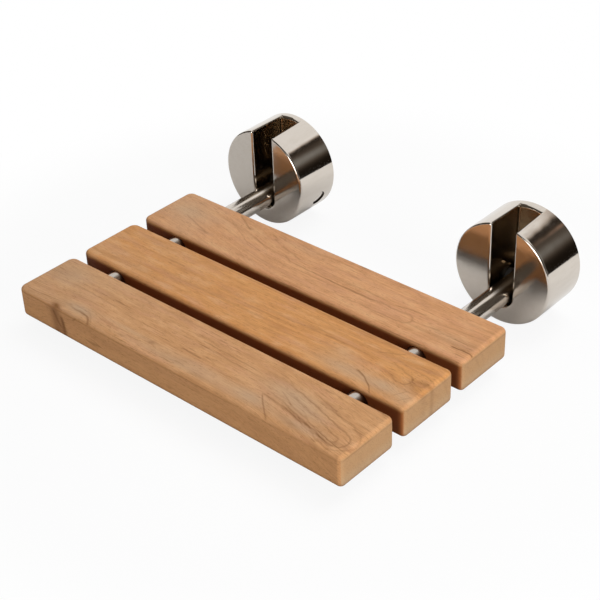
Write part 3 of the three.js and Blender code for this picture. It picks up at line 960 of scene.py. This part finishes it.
def make_casting():
    """The yokes' bronze-toned cast metal, darker and a little duller than the covers."""
    material, shader = new_material("satin casting")
    x, y, z = shader.coordinates()
    place = shader.vector(x, y, z)
    grain = shader.noise(place, scale=1.6, detail=3, roughness=0.6)
    clouds = shader.noise(place, scale=0.06, detail=3)
    shader.finish("ShaderNodeBsdfPrincipled", {
        "Base Color": shader.blend(clouds, CASTING_DEEP, CASTING_LIGHT),
        "Metallic": 1.0,
        "Roughness": 0.11 + 0.07 * clouds + 0.03 * grain,
        "Normal": shader.bump(grain, 0.05, 0.2 * MM),
    })
    return material


def make_steel():
    """Plain stainless steel with fine brushing and a few darker specks."""
    material, shader = new_material("plain steel")
    x, y, z = shader.coordinates()
    brushing = shader.noise(shader.vector(x / 9, y / 0.2, z / 0.25), detail=3, roughness=0.6)
    clouds = shader.noise(shader.vector(x, y, z), scale=0.09, detail=4)
    specks = shader.smooth(shader.noise(shader.vector(x, y, z), scale=1.1, detail=1), 0.66, 0.74)
    tone = shader.blend(clouds, STEEL_DEEP, STEEL_LIGHT)
    shader.finish("ShaderNodeBsdfPrincipled", {
        "Base Color": shader.blend(specks * 0.3, tone, STEEL_SPECK),
        "Metallic": 1.0,
        "Roughness": 0.28 + 0.14 * brushing + 0.06 * clouds,
        "Normal": shader.bump(brushing, 0.08, 0.1 * MM),
    })
    return material


def make_nylon():
    """Moulded black nylon with a faint skin texture."""
    material, shader = new_material("moulded nylon")
    x, y, z = shader.coordinates()
    place = shader.vector(x, y, z)
    skin = shader.noise(place, scale=2.4, detail=2)
    clouds = shader.noise(place, scale=0.2, detail=2)
    shader.finish("ShaderNodeBsdfPrincipled", {
        "Base Color": shader.blend(clouds, NYLON_DEEP, NYLON_LIGHT),
        "Roughness": 0.42 + 0.12 * skin,
        "Normal": shader.bump(skin, 0.1, 0.05 * MM),
    })
    return material


# The pieces, each on its body

def dress(piece, name, node, body, slot, material):
    piece.name = name
    piece.data.name = name
    piece.data.materials.clear()
    piece.data.materials.append(material)
    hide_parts(node)
    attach(piece, body)


def make_seat(nickel, steel, nylon):
    for row in ROWS:
        dress(make_slat(row), f"teak_slat_{row}", f"slat_{row}", "seat", "teak", make_teak(row))
        for hand in HANDS:
            node = f"slat_screw_{row}_{hand}"
            dress(make_slat_screw(row, hand), f"steel_{node}", node, "seat", "plain_steel", steel)
    for hand in HANDS:
        dress(make_rod(hand), f"polished_rod_{hand}", f"rod_{hand}", "seat", "polished_metal", nickel)
        for place in ("inner", "outer"):
            node = f"pivot_bush_{hand}_{place}"
            dress(make_bush(hand, place), f"nylon_{node}", node, "seat", "nylon", nylon)


def make_bracket(hand, cover_nickel, pin_nickel, casting, steel):
    for make, node, finish, slot, material in (
        (make_cover, f"bracket_cover_{hand}", "polished", "polished_metal", cover_nickel),
        (make_plate, f"wall_plate_{hand}", "steel", "plain_steel", steel),
        (make_yoke, f"hinge_yoke_{hand}", "satin", "cast_metal", casting),
        (make_pin, f"pivot_pin_{hand}", "polished", "polished_metal", pin_nickel),
        (make_washer, f"pivot_washer_{hand}", "steel", "plain_steel", steel),
        (make_nut, f"pivot_nut_{hand}", "steel", "plain_steel", steel),
    ):
        dress(make(hand), f"{finish}_{node}", node, "wall_brackets", slot, material)
    for number in range(1, 5):
        node = f"yoke_screw_{hand}_{number}"
        dress(make_yoke_screw(hand, number), f"steel_{node}", node, "wall_brackets", "plain_steel", steel)


# The studio

WHITE = (1.0, 1.0, 1.0)
FLOOR_DROP = 0.5 * MM
FLOOR_LOW = (-1.6, -1.6)
FLOOR_HIGH = (1.3, 0.36)
FLOOR_DEEP = (0.77, 0.77, 0.77)
FLOOR_LIGHT = (0.79, 0.79, 0.79)
FLOOR_UNSEEN = (0.06, 0.055, 0.05)  # for the light that it sends back up
CAMERA_PLACE = Vector((0.7613, -0.9883, 0.7204))
CAMERA_AIM = Vector((-0.0005, -0.1663, -0.0322))
CAMERA_ROLL = -2.42
CAMERA_LENS = 84.56
CARD_DISTANCE = 2.6
CARD_COLUMNS = 36
CARD_ROWS = 16
ROOM_LIGHT = 0.06  # from all around, on dull surfaces


def direction(turn, rise):
    """A direction by its turn from +Y towards +X and its rise over the floor, in degrees."""
    turn = math.radians(turn)
    rise = math.radians(rise)
    flat = math.cos(rise)
    return Vector((math.sin(turn) * flat, math.cos(turn) * flat, math.sin(rise)))


def seen_by(shader, *kinds):
    """1 for the kinds of ray named, 0 for the rest, such as the light on dull surfaces."""
    path = shader.node("ShaderNodeLightPath")
    seen = [Value(shader, path.outputs[f"Is {kind} Ray"]) for kind in kinds]
    return shader.maths("MINIMUM", sum(seen[1:], seen[0]), 1)


def make_floor():
    low, high = cad_bounds
    level = low[2] - FLOOR_DROP
    floor = block((*FLOOR_LOW, level - FLOOR_DROP), (*FLOOR_HIGH, level))
    floor.name = "studio_floor"
    material, shader = new_material("white floor")
    paper = shader.noise(shader.vector(*shader.coordinates()), scale=0.02, detail=2)
    pale = shader.blend(paper, FLOOR_DEEP, FLOOR_LIGHT)
    paint = shader.blend(seen_by(shader, "Diffuse"), pale, FLOOR_UNSEEN)
    dull = shader.value("ShaderNodeBsdfDiffuse", 0, None, {"Color": paint})
    bright = shader.value("ShaderNodeEmission", 0, None, {"Color": WHITE})
    x, y, _ = shader.coordinates(((low[0] + high[0]) / 2, (low[1] + high[1]) / 2, 0))
    edge = shader.smooth((x * x + y * y) ** 0.5, 330, 500)
    back = shader.smooth(y, 130, 300)
    share = seen_by(shader, "Camera", "Transmission") * (0.90 + 0.10 * edge)
    share = share + seen_by(shader, "Glossy") * (0.05 + 0.80 * back)
    shader.finish("ShaderNodeMixShader", {0: share, 1: dull, 2: bright})
    floor.data.materials.append(material)
    floor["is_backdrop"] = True


def make_card(name, turns, rises, paint):
    """A curved card round the seat, out of the camera's sight, that the polished metal mirrors.

    It lies between two turns and two rises, and paint makes its colour and strength from the turn in degrees
    and the sine of the rise."""
    bm = bmesh.new()
    grid = []
    for i in range(CARD_COLUMNS + 1):
        turn = turns[0] + (turns[1] - turns[0]) * i / CARD_COLUMNS
        rise_steps = [rises[0] + (rises[1] - rises[0]) * j / CARD_ROWS for j in range(CARD_ROWS + 1)]
        grid.append([bm.verts.new(CARD_DISTANCE * direction(turn, rise)) for rise in rise_steps])
    for near, far in zip(grid, grid[1:]):
        for j in range(CARD_ROWS):
            bm.faces.new((near[j], far[j], far[j + 1], near[j + 1]))
    card = from_bmesh(name, bm)
    material, shader = new_material(name)
    x, y, z = shader.coordinates()
    turn = shader.maths("ARCTAN2", x, y) * math.degrees(1)
    colour, strength = paint(shader, turn, z * (MM / CARD_DISTANCE))
    shader.finish("ShaderNodeEmission", {"Color": colour, "Strength": strength})
    card.data.materials.append(material)
    card.visible_camera = False
    card.visible_diffuse = False
    card.visible_shadow = False
    card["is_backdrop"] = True


def paint_back(shader, turn, rise):
    """A dim room with a soft glow in it, under the lower edge of a bright ceiling."""
    glow = 0.012 + shader.hill(rise, 0.43, 0.16) * (0.10 + 0.17 * shader.smooth(turn, 37, 46))
    bright = shader.maths("MAXIMUM", shader.smooth(rise, 0.655, 0.70), shader.smooth(turn, 4, -8))
    warm = shader.hill(turn, 28, 4) * shader.hill(rise, 0.545, 0.03)
    colour = shader.blend(shader.maths("MINIMUM", glow * 5, 1), (1.0, 0.72, 0.50), (1.0, 0.96, 0.90))
    colour = shader.blend(warm, colour, (1.0, 0.55, 0.38))
    return shader.blend(bright, colour, WHITE), glow + 0.4 * warm + 1.05 * bright


def paint_front(shader, turn, rise):
    """The dim side of the room that the camera stands in."""
    glow = 0.05 + 0.05 * shader.smooth(rise, 0.1, 0.6)
    return shader.blend(shader.smooth(turn, 0, 90), (1.0, 0.85, 0.70), (1.0, 0.90, 0.80)), glow


def make_lamp(name, turn, rise, distance, size, strength, mirrored=True):
    """A square lamp that faces the seat. The metal shows the ceiling in place of one that isn't mirrored."""
    aim = Vector(((cad_bounds[0][i] + cad_bounds[1][i]) / 2 for i in range(3)))
    away = direction(turn, rise)
    data = bpy.data.lights.new(name, "AREA")
    data.shape = "SQUARE"
    data.size = size
    data.energy = strength
    lamp = bpy.data.objects.new(name, data)
    facing = away.to_track_quat("Z", "Y").to_matrix().to_4x4()
    lamp.matrix_world = Matrix.Translation(aim + away * distance) @ facing
    lamp.visible_glossy = mirrored
    bpy.context.scene.collection.objects.link(lamp)


def make_world():
    world = bpy.data.worlds.new("studio")
    bpy.context.scene.world = world
    shader = Shader(world)
    share = seen_by(shader, "Camera", "Glossy", "Transmission")
    sky = shader.value("ShaderNodeTexCoord", "Generated")
    node = shader.node("ShaderNodeSeparateXYZ", None, {"Vector": sky})
    y, z = (Value(shader, node.outputs[name]) for name in "YZ")
    ceiling = shader.smooth(z, 0.55, 0.80) * shader.smooth(y, -0.35, 0.25)
    plain = ROOM_LIGHT + ceiling
    shader.finish("ShaderNodeBackground", {"Color": WHITE, "Strength": plain + share * (1 - plain)})


def make_camera():
    data = bpy.data.cameras.new("camera")
    data.lens = CAMERA_LENS
    data.clip_start = 0.01
    camera = bpy.data.objects.new("camera", data)
    turn = (CAMERA_PLACE - CAMERA_AIM).to_track_quat("Z", "Y").to_matrix().to_4x4()
    roll = Matrix.Rotation(math.radians(CAMERA_ROLL), 4, "Z")
    camera.matrix_world = Matrix.Translation(CAMERA_PLACE) @ turn @ roll
    bpy.context.scene.collection.objects.link(camera)
    bpy.context.scene.camera = camera


def make_studio():
    bpy.context.scene.view_settings.view_transform = "Standard"
    make_camera()
    make_world()
    make_floor()
    make_card("studio_back_card", turns=(-9, 70), rises=(-12, 46), paint=paint_back)
    make_card("studio_front_card", turns=(76, 280), rises=(-10, 56), paint=paint_front)
    make_lamp("overhead lamp", turn=15, rise=62, distance=2.0, size=1.2, strength=20, mirrored=False)
    make_lamp("front lamp", turn=165, rise=8, distance=2.2, size=1.0, strength=28)
    make_lamp("side lamp", turn=98, rise=14, distance=2.2, size=1.0, strength=30, mirrored=False)


make_studio()
pin_nickel = make_nickel("polished nickel", roughness=0.07)
rod_nickel = make_nickel("polished nickel rod", roughness=0.15, gap_shaded=True)
casting = make_casting()
steel = make_steel()
nylon = make_nylon()
make_seat(rod_nickel, steel, nylon)
for hand in HANDS:
    cover_nickel = make_nickel(f"polished nickel cover {hand}", roughness=0.07, hand=hand)
    make_bracket(hand, cover_nickel, pin_nickel, casting, steel)

bounds = {"cad": cad_bounds, "visual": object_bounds()}
{name: [[float(v) for v in corner] for corner in box] for name, box in bounds.items()}
